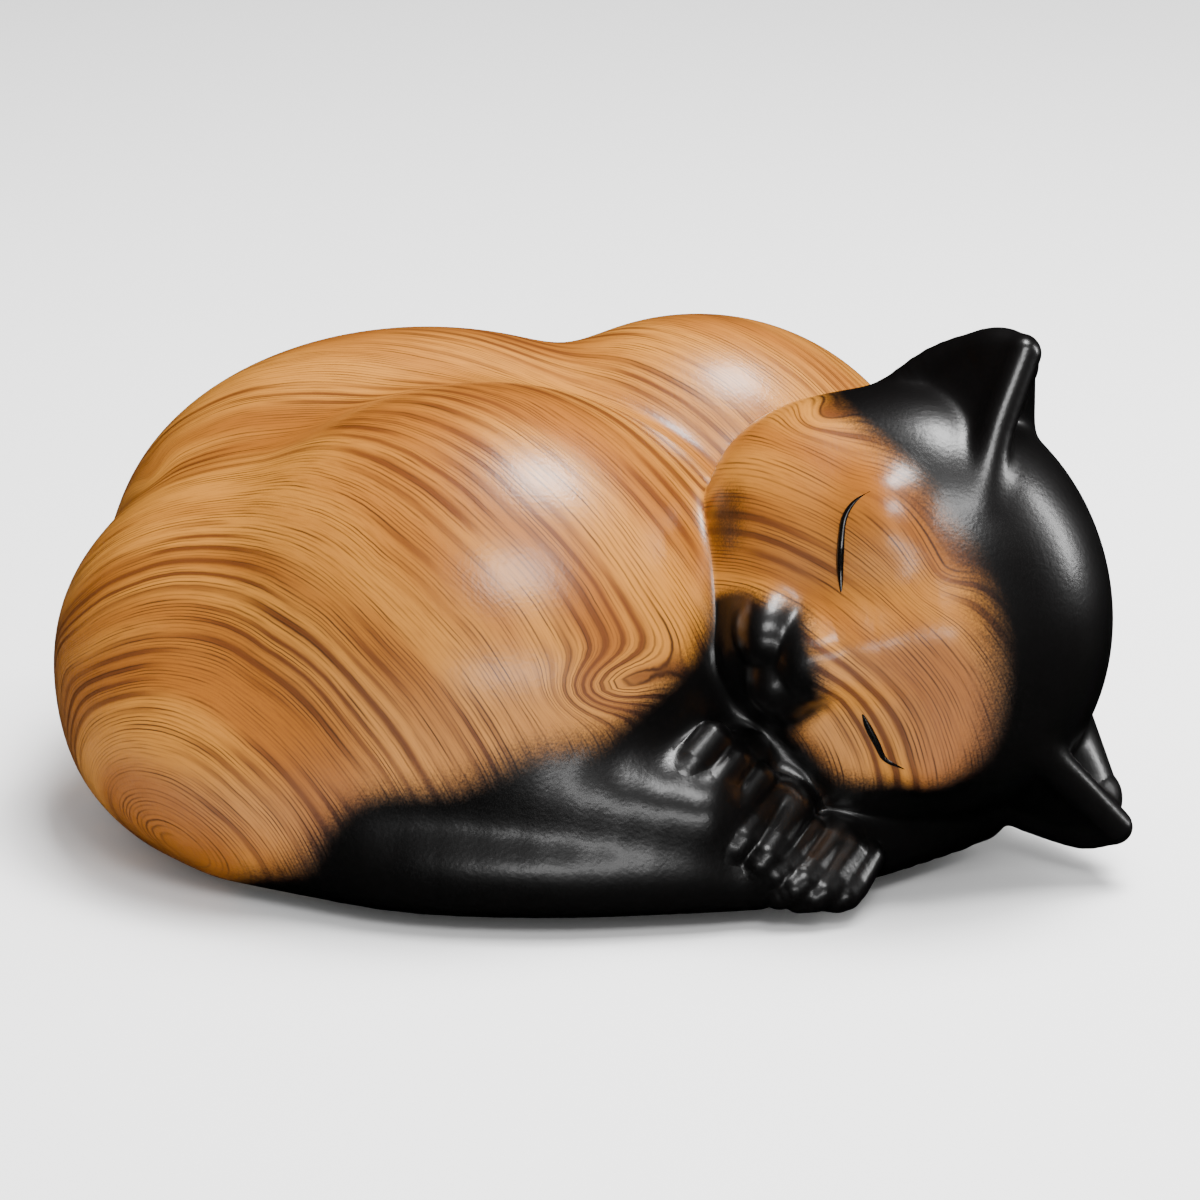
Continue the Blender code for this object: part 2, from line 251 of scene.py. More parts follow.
# ---------------------------------------------------------------------------------------------
# Ears. Pressed leaves of clay, luted behind the forehead: a sheet bent between two rolled rims,
# which leaves a shallow dish in front, on a thick root that thins towards the tip. Each ear has
# its outer rim, its crest and its root, as joints in the head's directions.
EARS = {
    "ear_right": (
        (((46, 0, -14), 9.0), ((56, 14, -17), 6.5), ((60.5, 28, -15), 4.6), ((60.3, 40.5, -10), 3.6)),
        (((28, 31, 13), 4.6), ((44, 35, 3), 4.2), ((60, 41.5, -8.5), 3.4)),
        (((40, 18, -20), 18.0), ((56, 33, -16), 8.0)),
    ),
    "ear_left": (
        (((-48, 2, -14), 9.0), ((-59.5, 17, -13), 5.6), ((-65, 31, -11), 4.6), ((-64.5, 40, -9), 3.6)),
        (((-28, 29, 15), 4.6), ((-46, 35, 2), 4.2), ((-64, 41.5, -8.5), 3.4)),
        (((-40, 18, -20), 18.0), ((-58, 33, -16), 8.0)),
    ),
}
EAR_SHEET = 3.4
RIM_MELT = 3.0
SHEET_MELT = 4.0
ROOT_MELT = 9.0


def sheet(points, corners, thickness):
    """A flat three-cornered sheet of clay with a round edge."""
    first, second, third = corners
    normal = np.cross(second - first, third - first)
    normal /= np.linalg.norm(normal)
    within = np.ones(len(points), bool)
    edge = np.full(len(points), np.inf)
    for start, end in ((first, second), (second, third), (third, first)):
        along = end - start
        share = np.clip((points - start) @ along / (along @ along), 0.0, 1.0)
        edge = np.minimum(edge, np.linalg.norm(points - start - share[:, None] * along, axis=1))
        within &= (points - start) @ np.cross(normal, along) >= 0.0
    return np.where(within, np.abs((points - first) @ normal), edge) - thickness


def ear_coils(name):
    """The ear's outer rim, crest and root as coils on the bench."""
    return [[(head_at(*place), radius) for place, radius in joints] for joints in EARS[name]]


def ear_sheets(name):
    """The corners of the sheets between the rim and the crest."""
    rim, crest, _ = ear_coils(name)
    strip = [joints[i][0] for i in range(3) for joints in (rim, crest)] + [rim[3][0]]
    return [strip[i : i + 3] for i in range(5)]


def ear_clay(name):
    rim, crest, root = ear_coils(name)

    def clay(points):
        rims = press_together(coil(points, rim), coil(points, crest), RIM_MELT)
        sheets = [sheet(points, corners, EAR_SHEET) for corners in ear_sheets(name)]
        leaf = press_together(rims, np.minimum.reduce(sheets), SHEET_MELT)
        return press_together(leaf, coil(points, root, 1), ROOT_MELT)

    return clay


# ---------------------------------------------------------------------------------------------
# Tail and legs. Coils of clay that taper, luted along the front of the body: the tail lies round
# the foot of it, the hind leg on the tail, and the foreleg folds under the chin.
TAIL = (
    ((-84, -50, 16), 18),
    ((-50, -71, 14), 16),
    ((-14, -79, 12.5), 13),
    ((20, -78, 11), 11),
    ((40, -76, 9), 9),
)
HIND_LEG = (((-50, -56, 34), 24.0), ((-10, -68, 30), 19.0), ((26, -74, 26), 13.0))
FORELEG = (((92, -32, 16), 17.5), ((76, -50, 12), 12.0), ((60, -64, 11), 10.0))


def tail_clay(points):
    return coil(points, TAIL)


def hind_leg_clay(points):
    return coil(points, HIND_LEG)


def foreleg_clay(points):
    return coil(points, FORELEG)


# ---------------------------------------------------------------------------------------------
# Paws. Each is a short coil, its palm, with its toes laid side by side over the end, and the
# creases between the toes pressed in with a wooden tool. A palm comes first, and then its toes.
TOE_CREASE = 1.6
PALM_BEND = 4.0
PALM_MELT = 3.0
FOREPAW_RIGHT = (
    (((44, -54, 35), 7.0), ((34, -65, 35), 8.0)),
    (((30, -68, 42), 5.0), ((22.5, -76, 36), 5.2), ((18, -77, 30), 4.2)),
    (((35, -70, 37), 5.0), ((28, -78.5, 31), 5.2), ((23, -79, 25), 4.2)),
    (((41, -70, 32), 5.0), ((34, -78, 26), 5.0), ((30, -78, 20.5), 4.0)),
)
FOREPAW_LEFT = (
    (((56, -52, 24), 7.0), ((46, -66, 24), 8.5)),
    (((44, -69, 27), 5.4), ((37, -79, 21), 5.6), ((33, -80, 16), 4.4)),
    (((50, -70, 24), 5.4), ((43, -80, 17), 5.4), ((39, -81, 12), 4.2)),
)
HIND_PAW = (
    (((69, -56, 12), 8.5), ((60, -66, 12), 9.5)),
    (((54, -70, 18), 5.0), ((47, -80, 13), 5.0), ((42, -81, 11), 4.2)),
    (((59, -71, 15), 5.0), ((52, -81, 10), 5.0), ((46.5, -82, 7), 4.2)),
    (((64, -71, 13), 4.8), ((57, -81, 7.5), 4.8), ((51.5, -81, 5), 4.0)),
    (((68.5, -69, 11), 4.6), ((62.5, -79, 5.5), 4.6), ((57.5, -79, 4), 3.6)),
)


def paw_clay(paw):
    def clay(points):
        palm, *toes = paw
        toe_forms = [coil(points, toe, 3) for toe in toes]
        together = toe_forms[0]
        for toe in toe_forms[1:]:
            together = press_together(together, toe, TOE_CREASE)
        return press_together(roll(points, palm, PALM_BEND), together, PALM_MELT)

    return clay


# ---------------------------------------------------------------------------------------------
# Luting. The pressings are scored, wetted with slip and pushed on, and the joint is smoothed with
# a wet brush: over the melt, in millimetres, each piece flows into the ones before it. Each piece
# is given with its melt, and with the middle and the radius of a ball that holds it.
PIECES = {
    "torso_casting": (torso_clay, 1.0, (-25, 5, 50), 190),
    "tail": (tail_clay, 12.0, (-22, -68, 12), 80),
    "hind_leg": (hind_leg_clay, 14.0, (-22, -64, 31), 66),
    "foreleg": (foreleg_clay, 6.0, (82, -42, 21), 44),
    "forepaw_right": (paw_clay(FOREPAW_RIGHT), 2.0, (32, -69, 32), 30),
    "forepaw_left": (paw_clay(FOREPAW_LEFT), 2.0, (45, -70, 21), 28),
    "hind_paw": (paw_clay(HIND_PAW), 2.0, (60, -70, 11), 30),
}
HEAD_PIECES = {
    "head_casting": (head_clay, 1.0, head_at(0, -2, 2), 68),
    "ear_right": (ear_clay("ear_right"), 5.0, head_at(52, 26, -8), 38),
    "ear_left": (ear_clay("ear_left"), 5.0, head_at(-52, 26, -8), 42),
}
NECK_MELT = 3.0
# Further than this from a piece's ball, its form need only be roughly right.
EXACT = 16.0
# Past its joint a piece sinks slowly below the surface over the lap, and steeply beyond it.
LAP = 2.0
LAP_SLOPE = 0.08


def luted(forms, pieces):
    whole = None
    for name, (_, melt, _, _) in pieces.items():
        whole = forms[name] if whole is None else press_together(whole, forms[name], melt)
    return whole


def figure_forms(points):
    """Each piece's own form at the points, and the whole luted figure's."""
    forms = {}
    for name, (clay, _, middle, radius) in (PIECES | HEAD_PIECES).items():
        forms[name] = np.linalg.norm(points - np.array(middle, float), axis=1) - radius
        near = forms[name] < EXACT
        forms[name][near] = clay(points[near])
    whole = press_together(luted(forms, PIECES), luted(forms, HEAD_PIECES), NECK_MELT)
    return forms, -press_together(-whole, points[:, 2], BASE_EDGE)


def piece_form(name):
    """The figure's surface where the piece shows; beyond its joints it dips under its neighbours."""

    def form(points):
        forms, whole = figure_forms(points)
        others = np.minimum.reduce([clay for other, clay in forms.items() if other != name])
        past_joint = np.maximum(forms[name] - others, 0.0)
        return whole + LAP_SLOPE * np.minimum(past_joint, LAP) + np.maximum(past_joint - LAP, 0.0)

    return form


# ---------------------------------------------------------------------------------------------
# Casting and firing. Each piece is roughed out as balls of clay fused into one skin, whose points
# are then pressed onto the figure's surface, and split finer where the modelling is finer.
BALLS_APART = 0.5


def balls_along(joints):
    """Balls along a coil, close enough to fuse."""
    for (start, start_radius), (end, end_radius) in zip(joints, joints[1:]):
        start, end = np.array(start, float), np.array(end, float)
        apart = BALLS_APART * min(start_radius, end_radius)
        steps = max(2, math.ceil(np.linalg.norm(end - start) / apart))
        for share in np.linspace(0.0, 1.0, steps):
            radius = start_radius + share * (end_radius - start_radius)
            yield start + share * (end - start), (radius, radius, radius), np.eye(3)


def rough_out(name, balls, facet):
    """Balls fused into one closed skin, whose faces are about a facet wide."""
    clay = bmesh.new()
    for centre, half, axes in balls:
        place = Matrix.Translation(Vector(centre)) @ Matrix(axes).to_4x4()
        place = place @ Matrix.Diagonal((*half, 1.0))
        bmesh.ops.create_icosphere(clay, subdivisions=3, radius=1.0, matrix=place)
    mesh = bpy.data.meshes.new(name)
    clay.to_mesh(mesh)
    clay.free()
    piece = bpy.data.objects.new(name, mesh)
    bpy.context.scene.collection.objects.link(piece)
    fuse = piece.modifiers.new("Fuse", "REMESH")
    fuse.mode = "VOXEL"
    fuse.voxel_size = facet
    graph = bpy.context.evaluated_depsgraph_get()
    piece.data = bpy.data.meshes.new_from_object(piece.evaluated_get(graph))
    piece.modifiers.clear()
    bpy.data.meshes.remove(mesh)
    piece.data.name = name
    return piece


def points_of(mesh):
    points = np.empty(len(mesh.vertices) * 3, np.float32)
    mesh.vertices.foreach_get("co", points)
    return points.reshape(-1, 3).astype(np.float64)


def set_points(mesh, points):
    mesh.vertices.foreach_set("co", points.astype(np.float32).ravel())
    mesh.update()


NUDGE = 0.04
LONGEST_PUSH = 3.0
LEAST_STEEP = 0.1


def slope_of(form, points, step):
    """Which way, and how fast, the form's distance grows about the points."""
    rises = [form(points + axis * step) - form(points - axis * step) for axis in np.eye(3)]
    return np.stack(rises, axis=1) / (2 * step)


def press_onto(mesh, form, rounds):
    """Moves the mesh's points along the form's slope until they lie on its surface."""
    points = points_of(mesh)
    for _ in range(rounds):
        away = form(points)
        rises = [form(points + axis * NUDGE) - away for axis in np.eye(3)]
        slope = np.stack([rise / NUDGE for rise in rises], axis=1)
        steepness = np.maximum((slope**2).sum(axis=1), LEAST_STEEP)
        points -= np.clip(away / steepness, -LONGEST_PUSH, LONGEST_PUSH)[:, None] * slope
    set_points(mesh, points)


def relax(mesh):
    """Evens out the spacing of the mesh's points."""
    clay = bmesh.new()
    clay.from_mesh(mesh)
    free = {"use_axis_x": True, "use_axis_y": True, "use_axis_z": True}
    bmesh.ops.smooth_vert(clay, verts=clay.verts, factor=0.5, **free)
    clay.to_mesh(mesh)
    clay.free()


def split_finer(mesh, chosen):
    """Halves every edge between two chosen points."""
    clay = bmesh.new()
    clay.from_mesh(mesh)
    edges = [edge for edge in clay.edges if all(chosen[vert.index] for vert in edge.verts)]
    bmesh.ops.subdivide_edges(clay, edges=edges, cuts=1, use_grid_fill=True)
    clay.to_mesh(mesh)
    clay.free()


def near_joint(name, reach):
    """Chooses the points within reach of the crease between the piece and its neighbours."""

    def choose(points):
        forms, _ = figure_forms(points)
        others = np.minimum.reduce([clay for other, clay in forms.items() if other != name])
        return np.abs(forms[name] - others) < reach

    return choose


def cast(name, balls, facet, finer=()):
    """The finished skin of one piece, still in bench millimetres."""
    piece = rough_out("fired_" + name, balls, facet)
    form = piece_form(name)
    for _ in range(2):
        press_onto(piece.data, form, 2)
        relax(piece.data)
    press_onto(piece.data, form, 2)
    for choose in finer:
        split_finer(piece.data, choose(points_of(piece.data)))
        press_onto(piece.data, form, 2)
    clay = bmesh.new()
    clay.from_mesh(piece.data)
    bmesh.ops.triangulate(clay, faces=clay.faces, quad_method="SHORT_EDGE")
    bmesh.ops.recalc_face_normals(clay, faces=clay.faces)
    clay.to_mesh(piece.data)
    clay.free()
    return piece


# ---------------------------------------------------------------------------------------------
# Wood-grain film. After firing, a printed film of sawn softwood is floated on water and the figure
# is dipped through it. The print's lines are rings about points below the flank and under the
# chin, pushed round knots. Each point is given its place across the lines, in millimetres.
FLANK_PITH = ((-116, -76, -2), (1.0, 1.25, 1.0))
CHIN_PITH = ((28, -76, 26), (1.0, 0.9, 1.0))
# Where the lines swirl: middle, half sizes along X, Y and Z, and how far they are pushed.
SWIRLS = (
    ((6, -82, 61), (13, 22, 6), 15.0),
    ((-114, 24, 80), (8, 16, 5), 9.0),
    ((60, 60, 100), (22, 16, 10), 14.0),
    ((-30, 92, 60), (24, 16, 9), -16.0),
    ((-128, -20, 44), (14, 16, 8), -7.0),
)
# The loop that the lines make down the forehead: its start and end, its width, and its push.
FOREHEAD_LOOP = ((52, -34, 117), (90, -78, 82), 9.0, 8.0)
LOOP_SHARE = 0.35


def torso_grain(points):
    centre, stretch = FLANK_PITH
    across = np.linalg.norm((points - np.array(centre, float)) * stretch, axis=1)
    for centre, half, push in SWIRLS:
        near = (((points - np.array(centre, float)) / half) ** 2).sum(axis=1)
        across = across + push * np.exp(-near)
    return across


def head_grain(points):
    centre, stretch = CHIN_PITH
    across = np.linalg.norm((points - np.array(centre, float)) * stretch, axis=1)
    start, end, width, push = FOREHEAD_LOOP
    start, end = np.array(start, float), np.array(end, float)
    along = end - start
    share = (points - start) @ along / (along @ along)
    aside = np.linalg.norm(points - start - share[:, None] * along, axis=1)
    past_end = np.maximum(np.abs(share - 0.5) - LOOP_SHARE, 0.0) * np.linalg.norm(along)
    return across + push * np.exp(-(aside**2 + past_end**2) / width**2)


# ---------------------------------------------------------------------------------------------
# Airbrushed points. Black is sprayed over the film on the ears, the mask, the legs and the tail,
# through no stencil, so it fades out in a spatter over one to two centimetres. A shade is a row
# of the places that the spray is aimed at, and how wide it lands.
BELLY_SHADE = (
    ((-72, -66, -4), 19),
    ((-45, -68, 12), 27),
    ((-10, -70, 18), 32),
    ((25, -60, 25), 33),
    ((48, -40, 55), 31),
)
CHEST_SHADE = (((25, -60, 25), 33), ((92, -14, 14), 34))
TAIL_SHADE = (((-46, -74, 13), 21), ((40, -80, 9), 22))
MUZZLE_SHADE = ((0, -26, 40), (19, 24, 20))
# Painted shade: a grey patch that darkens the cheek beside the nose, by the crease with the torso.
CHEEK_PAINTED_SHADE = ((36, -30, 31), (10, 8, 8))
JOWL_SHADE = (((-20, -26, 38), 7.0), ((-38, -12, 30), 5.0), ((-44, 8, 22), 9.0))
CHEEK_SHADE_STRENGTH = 0.65
SHADE_BEND = 10.0
JOWL_BEND = 6.0
# The mask's edge: how far up the crown it runs, how it curves to the sides, and how it falls back.
MASK_EDGE = 32.5
MASK_CURVE = 0.0098
MASK_FALL = 0.6
MASK_FRONT = 20.0
# Beyond this far to the lower ear's side, the head is black.
LOWER_SIDE = -38.0
PAW_HALO = 5.0


def sprayed(distance, fade):
    """How black the spray leaves a point: 1 inside, 0 beyond the fade."""
    share = np.clip(0.5 - distance / fade, 0.0, 1.0)
    return share * share * (3.0 - 2.0 * share)


def passes_over(shares):
    """How black several passes of the spray leave a point."""
    bare = np.ones(len(shares[0]))
    for share in shares:
        bare *= 1.0 - share
    return 1.0 - bare


def airbrush(points, forms):
    shares = [
        sprayed(roll(points, BELLY_SHADE, SHADE_BEND), 20.0),
        sprayed(roll(points, CHEST_SHADE, SHADE_BEND), 18.0),
        sprayed(roll(points, TAIL_SHADE, SHADE_BEND), 12.0),
    ]
    for limb in ("foreleg", "forepaw_right", "forepaw_left", "hind_paw"):
        shares.append(sprayed(forms[limb] - PAW_HALO, 8.0))
    return passes_over(shares)


def head_spray_and_painted_shade(points, forms):
    side, crown, face = ((points - HEAD_CENTRE) @ HEAD).T
    edge = MASK_EDGE - MASK_CURVE * side**2 - MASK_FALL * np.maximum(MASK_FRONT - face, 0.0)
    jowl = [(head_at(*place), radius) for place, radius in JOWL_SHADE]
    return passes_over((
        sprayed(edge - crown, 22.0),
        sprayed(head_lump(points, *MUZZLE_SHADE), 8.0),
        # The grey cheek patch is painted shade; the other passes are sprayed black.
        CHEEK_SHADE_STRENGTH * sprayed(head_lump(points, *CHEEK_PAINTED_SHADE), 14.0),
        sprayed(roll(points, jowl, JOWL_BEND), 16.0),
        sprayed(side - LOWER_SIDE, 22.0),
    ))


# ---------------------------------------------------------------------------------------------
# Glazes and films. What follows mixes the figure's finishes: satin lacquer over the printed film,
# which also carries the black, and the bare earthenware that shows only on the sole and inside.
def linear(colour):
    """An sRGB hex colour as the linear colour that a shader takes."""
    shares = [int(colour[i : i + 2], 16) / 255 for i in (1, 3, 5)]
    return (*[c / 12.92 if c <= 0.04045 else ((c + 0.055) / 1.055) ** 2.4 for c in shares], 1.0)


def add_node(tree, kind, settings=None, links=None):
    """Adds a node. Settings fill its properties or its sockets, and links feed its sockets."""
    node = tree.nodes.new(kind)
    for name, value in (settings or {}).items():
        if isinstance(name, str) and name in node.bl_rna.properties:
            setattr(node, name, value)
        else:
            node.inputs[name].default_value = value
    for name, source in (links or {}).items():
        output = source if isinstance(source, bpy.types.NodeSocket) else source.outputs[0]
        tree.links.new(output, node.inputs[name])
    return node


def new_material(name):
    """An empty material: its node tree, its shader, and its Object coordinates in millimetres."""
    made = bpy.data.materials.new(name)
    made.use_nodes = True
    tree = made.node_tree
    tree.nodes.clear()
    shader = add_node(tree, "ShaderNodeBsdfPrincipled")
    add_node(tree, "ShaderNodeOutputMaterial", links={"Surface": shader})
    place = add_node(tree, "ShaderNodeTexCoord").outputs["Object"]
    bench = add_node(tree, "ShaderNodeVectorMath", {"operation": "SCALE", "Scale": 1000.0}, {0: place})
    return made, tree, shader, bench


# The film's inks, and its marks in millimetres. A streak is as narrow as its width across the grain
# and as long as its run along it, and shows between its two levels. A line repeats at its spacing.
INK = {"pale": "#AD7026", "warm": "#8C5219", "band": "#5F3212", "line": "#3A1F0D", "spray": "#060505"}
STREAKS = {
    "tone": (17.0, 90.0, 1.0, 0.38, 0.64),
    "broad": (16.0, 50.0, 1.0, 0.44, 0.64),
    "fine": (2.0, 20.0, 2.0, 0.32, 0.72),
    "fibre": (0.42, 7.0, 3.0, 0.45, 0.75),
}
LINES = {"broad": (4.2, 0.10, 0.50), "fine": (1.05, 0.20, 0.50)}
# How the lines wander and waver: over how many millimetres, in what detail, and how far.
WANDER = ((38.0, 1.0, 4.0), (5.0, 2.0, 0.3))
YEARS = 11.0
CROWDING = 3.5
FIBRE_STRENGTH = 0.35
# How wide the spray's dots, the rubbed patches and the lacquer's orange peel are, in millimetres.
SPATTER = 0.55
RUBBED = 14.0
PEEL = 1.2


# Satin lacquer over water-transfer film on fired white earthenware. The film's lines are darker
# grain, the black is sprayed under the same lacquer and ends in a spatter, and the lacquer dried
# with a faint orange peel, which breaks up its soft highlights.
def lacquered_film():
    made, tree, shader, bench = new_material("satin_lacquer_over_woodgrain_film")
    maths, noise, smooth = "ShaderNodeMath", "ShaderNodeTexNoise", "ShaderNodeMapRange"
    grain = add_node(tree, "ShaderNodeAttribute", {"attribute_name": "grain"}).outputs["Fac"]
    # The airbrush attribute holds the sprayed black and, on the head, the painted shade beside the
    # nose.
    spray = add_node(tree, "ShaderNodeAttribute", {"attribute_name": "airbrush"}).outputs["Fac"]

    # The lines wander over a few centimetres and waver over a few millimetres.
    across = grain
    for width, detail, push in WANDER:
        drift = add_node(tree, noise, {"Scale": 1 / width, "Detail": detail}, {"Vector": bench})
        across = add_node(tree, maths, {"operation": "MULTIPLY_ADD", 1: push}, {0: drift, 2: across})

    marks = {}
    for name, (width, run, detail, low, high) in STREAKS.items():
        settings = {"operation": "SCALE", "Scale": 1 / run}
        along = add_node(tree, "ShaderNodeVectorMath", settings, {0: bench})
        over = add_node(tree, maths, {"operation": "MULTIPLY", 1: 1 / width}, {0: across})
        settings = {"noise_dimensions": "4D", "Scale": 1.0, "Detail": detail}
        streak = add_node(tree, noise, settings, {"Vector": along, "W": over})
        settings = {"interpolation_type": "SMOOTHSTEP", "From Min": low, "From Max": high}
        marks[name] = add_node(tree, smooth, settings, {"Value": streak})

    # Lines are crowded in some years and spread in others, and come and go with the streaks.
    spacing = add_node(tree, maths, {"operation": "MULTIPLY", 1: 1 / YEARS}, {0: across})
    uneven = add_node(tree, noise, {"noise_dimensions": "1D", "Scale": 1.0}, {"W": spacing})
    settings = {"operation": "MULTIPLY_ADD", 1: CROWDING}
    uneven = add_node(tree, maths, settings, {0: uneven, 2: across})
    for name, (period, low, high) in LINES.items():
        turn = add_node(tree, maths, {"operation": "DIVIDE", 1: period}, {0: uneven})
        fold = add_node(tree, maths, {"operation": "PINGPONG", 1: 0.5}, {0: turn})
        settings = {"interpolation_type": "SMOOTHSTEP", "From Min": low, "From Max": high}
        line = add_node(tree, smooth, settings, {"Value": fold})
        marks[name] = add_node(tree, maths, {"operation": "MULTIPLY"}, {0: line, 1: marks[name]})
    settings = {"operation": "MULTIPLY", 1: FIBRE_STRENGTH}
    marks["fibre"] = add_node(tree, maths, settings, {0: marks["fibre"]})

    # The spray's edge is broken into a spatter of half-millimetre dots.
    spatter = add_node(tree, noise, {"Scale": 1 / SPATTER, "Detail": 2.0}, {"Vector": bench})
    grit = add_node(tree, maths, {"operation": "MULTIPLY_ADD", 1: 1.2, 2: -0.6}, {0: spatter})
    hem = add_node(tree, maths, {"operation": "PINGPONG", 1: 0.5}, {0: spray})
    sprayed_on = add_node(tree, maths, {"operation": "MULTIPLY_ADD"}, {0: grit, 1: hem, 2: spray})
    settings = {"interpolation_type": "SMOOTHSTEP", "From Min": 0.1, "From Max": 0.9}
    marks["spray"] = add_node(tree, smooth, settings, {"Value": sprayed_on})

    inks = {"tone": "warm", "broad": "band", "fine": "line", "fibre": "band", "spray": "spray"}
    colour = None
    for mark, ink in inks.items():
        printed = add_node(tree, "ShaderNodeMix", {"data_type": "RGBA"}, {0: marks[mark]})
        if colour is None:
            printed.inputs[6].default_value = linear(INK["pale"])
        else:
            tree.links.new(colour, printed.inputs[6])
        printed.inputs[7].default_value = linear(INK[ink])
        colour = printed.outputs[2]
    tree.links.new(colour, shader.inputs["Base Color"])

    rub = add_node(tree, noise, {"Scale": 1 / RUBBED, "Detail": 3.0}, {"Vector": bench})
    rub = add_node(tree, smooth, {"To Min": 0.30, "To Max": 0.40}, {"Value": rub})
    tree.links.new(rub.outputs[0], shader.inputs["Roughness"])
    peel = add_node(tree, noise, {"Scale": 1 / PEEL, "Detail": 1.5}, {"Vector": bench})
    bump = add_node(tree, "ShaderNodeBump", {"Strength": 0.6, "Distance": 0.00008}, {"Height": peel})
    for socket in ("Normal", "Coat Normal"):
        tree.links.new(bump.outputs[0], shader.inputs[socket])
    shader.inputs["IOR"].default_value = 1.5
    shader.inputs["Coat Weight"].default_value = 0.5
    shader.inputs["Coat Roughness"].default_value = 0.24
    return made


# Bare fired earthenware, on the sole and inside the vent only: chalky, pitted and cream.
def bare_earthenware():
    made, tree, shader, bench = new_material("bare_fired_earthenware")
    cloud = add_node(tree, "ShaderNodeTexNoise", {"Scale": 1 / 18, "Detail": 5.0}, {"Vector": bench})
    mixed = add_node(tree, "ShaderNodeMix", {"data_type": "RGBA"}, {0: cloud})
    mixed.inputs[6].default_value = linear("#E2D8C6")
    mixed.inputs[7].default_value = linear("#C9BBA3")
    tree.links.new(mixed.outputs[2], shader.inputs["Base Color"])
    pits = add_node(tree, "ShaderNodeTexNoise", {"Scale": 1 / 0.6, "Detail": 4.0}, {"Vector": bench})
    bump = add_node(tree, "ShaderNodeBump", {"Strength": 0.5, "Distance": 0.0002}, {"Height": pits})
    tree.links.new(bump.outputs[0], shader.inputs["Normal"])
    shader.inputs["Roughness"].default_value = 0.85
    return made


LACQUERED_FILM = lacquered_film()
BARE_EARTHENWARE = bare_earthenware()
SKIN_DEPTH = 0.3
SOLE = 0.1
SHARP = math.radians(35)


def read_vectors(data, field):
    values = np.empty(len(data) * 3, np.float32)
    data.foreach_get(field, values)
    return values.reshape(-1, 3).astype(np.float64)


def coat(piece, name, grain, spray, brushing=0.3):
    """Dips a piece in its film, sprays and lacquers it, and stands it in the figure.

    Brushing is how far the wet brush has evened out the surface, in millimetres.
    """
    mesh = piece.data
    points = points_of(mesh)
    forms, _ = figure_forms(points)
    # On the head the airbrush values also carry the painted shade beside the nose.
    for attribute, values in (("grain", grain(points)), ("airbrush", spray(points, forms))):
        layer = mesh.attributes.new(attribute, "FLOAT", "POINT")
        layer.data.foreach_set("value", values.astype(np.float32))

    # Outer faces lie on the piece's surface. Faces inside the walls, and the sole, stay bare.
    mesh.shade_smooth()
    mesh.set_sharp_from_angle(angle=SHARP)
    corners = np.array([tuple(face.vertices) for face in mesh.polygons])
    form = piece_form(name)
    here = form(points)
    outer = (np.abs(here) < SKIN_DEPTH)[corners].all(axis=1)
    on_sole = read_vectors(mesh.polygons, "center")[:, 2] < SOLE
    mesh.materials.clear()
    for material in (LACQUERED_FILM, BARE_EARTHENWARE):
        mesh.materials.append(material)
    mesh.polygons.foreach_set("material_index", (on_sole | ~outer).astype(np.int32))

    # Where the piece shows, light falls on it as on the whole figure, so that no joint shows.
    others = np.minimum.reduce([clay for other, clay in forms.items() if other != name])
    shows = (forms[name] - others < LAP)[:, None]
    smoothed = slope_of(lambda at: figure_forms(at)[1], points, brushing)
    facing = np.where(shows, smoothed, slope_of(form, points, NUDGE))
    facing /= np.maximum(np.linalg.norm(facing, axis=1, keepdims=True), 1e-6)
    normals = read_vectors(mesh.corner_normals, "vector")
    smooth_corners = np.repeat(outer & ~on_sole, 3)
    normals[smooth_corners] = facing[corners.ravel()][smooth_corners]
    set_points(mesh, (points + MARK) * MM)
    mesh.normals_split_custom_set(normals.astype(np.float32))

    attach(piece, "figure")
    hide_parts(name)


# ---------------------------------------------------------------------------------------------
# Torso casting: slip cast in a plaster mould of several parts, about 5 mm thick and hollow, with
# its seams fettled away and a round vent cut in the sole. It carries every other piece.
TORSO_FACET = 2.1
TORSO_JOINT = 5.0
# Torso, tail and legs are brushed out further than the modelled head and paws.
LIMB_BRUSHING = 4.0
WALL = 5.0
HOLLOW_FACET = 5.0
VENT_RADIUS = 19.0
VENT_CHAMFER = 0.7
BELOW_SOLE = 3


def spun(name, profile, steps=96):
    """A turned shape from an (out, up) profile in millimetres, standing over the vent."""
    clay = bmesh.new()
    points = [clay.verts.new((out, 0.0, up)) for out, up in profile]
    edges = [clay.edges.new(pair) for pair in zip(points, points[1:])]
    turn = {"axis": (0, 0, 1), "cent": (0, 0, 0), "angle": math.tau}
    bmesh.ops.spin(clay, geom=points + edges, steps=steps, use_merge=True, **turn)
    bmesh.ops.remove_doubles(clay, verts=clay.verts, dist=1e-4)
    bmesh.ops.translate(clay, verts=clay.verts, vec=(VENT_FROM_MARK, 0.0, 0.0))
    bmesh.ops.recalc_face_normals(clay, faces=clay.faces)
    mesh = bpy.data.meshes.new(name)
    clay.to_mesh(mesh)
    clay.free()
    piece = bpy.data.objects.new(name, mesh)
    bpy.context.scene.collection.objects.link(piece)
    return piece


def hollow_form(points):
    inside = -press_together(-torso_clay(points), points[:, 2], BASE_EDGE)
    return inside + WALL


